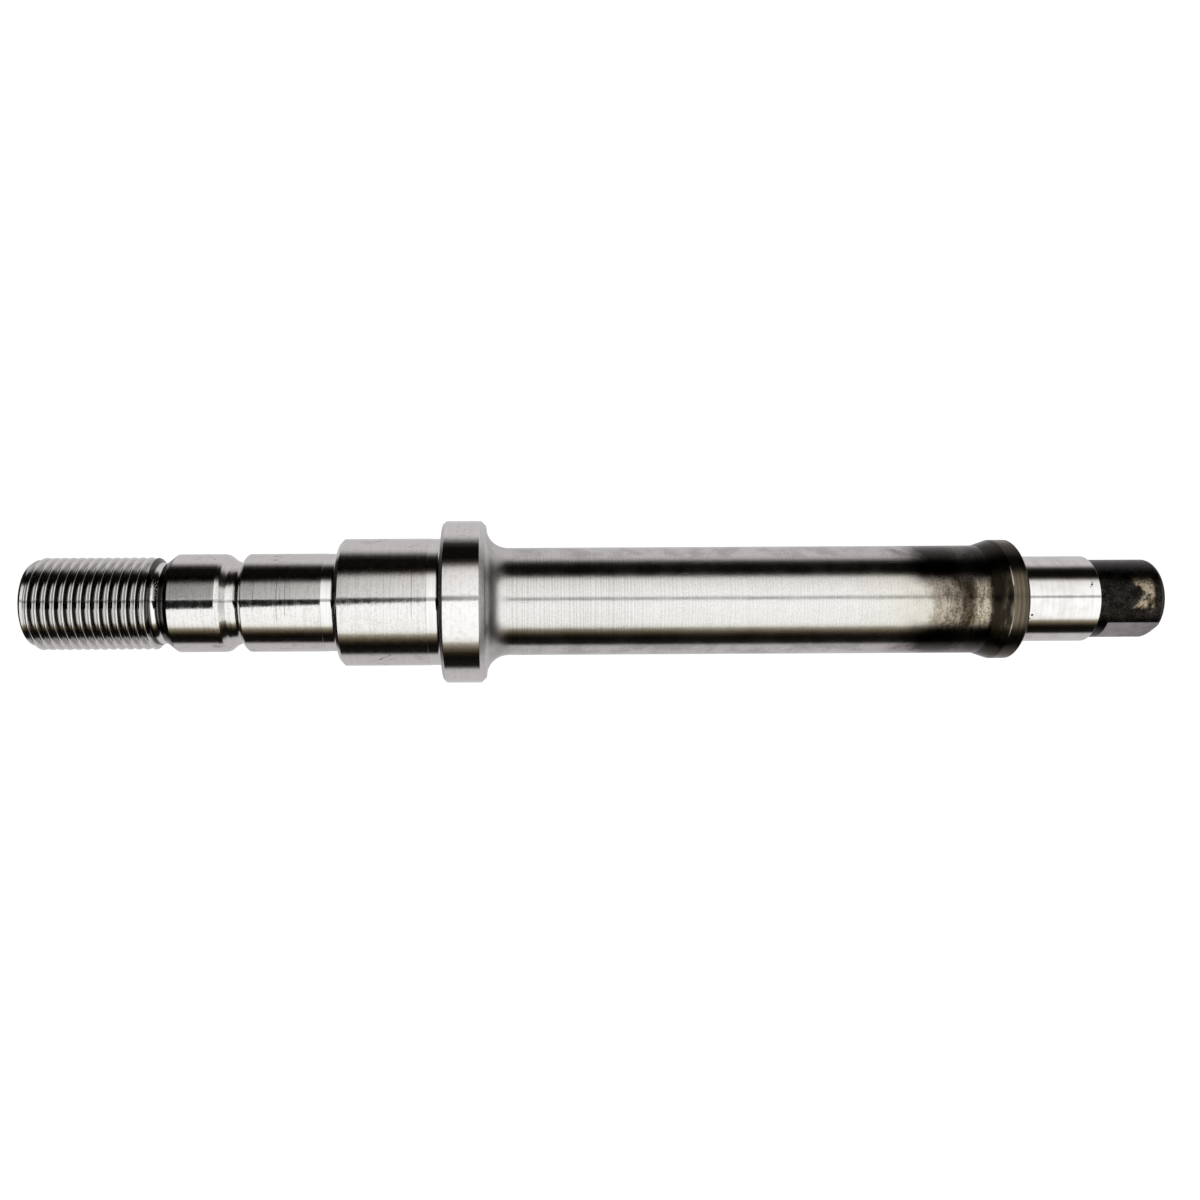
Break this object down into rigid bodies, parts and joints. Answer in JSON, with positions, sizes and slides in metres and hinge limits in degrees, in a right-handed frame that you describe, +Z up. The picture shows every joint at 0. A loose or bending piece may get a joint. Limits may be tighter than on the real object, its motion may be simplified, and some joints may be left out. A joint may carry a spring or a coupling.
{
  "type": "stepped shaft",
  "caption": "Turned steel shaft with a fine-threaded end, ground bearing seats, a flange, a plain body, a collar, a journal and a black stub with spanner flats.",
  "frame": {"origin": "on the table that the shaft stands on, in the middle of the face of its threaded end", "axes": "+Z up along the shaft's axis, from the threaded end to the stub; -Y is the side that the picture shows, with the threaded end at its left; the two flats on the stub face 26 degrees from +X towards -Y, and the other way"},
  "size_m": [0.028, 0.028, 0.1922],
  "materials": {
    "steel": "turned and ground bare steel, heat-tinted brown to black towards the collar, black oxide on the stub"
  },
  "bodies": {
    "root": {"stepped_shaft": "steel"}
  },
  "joints": []
}
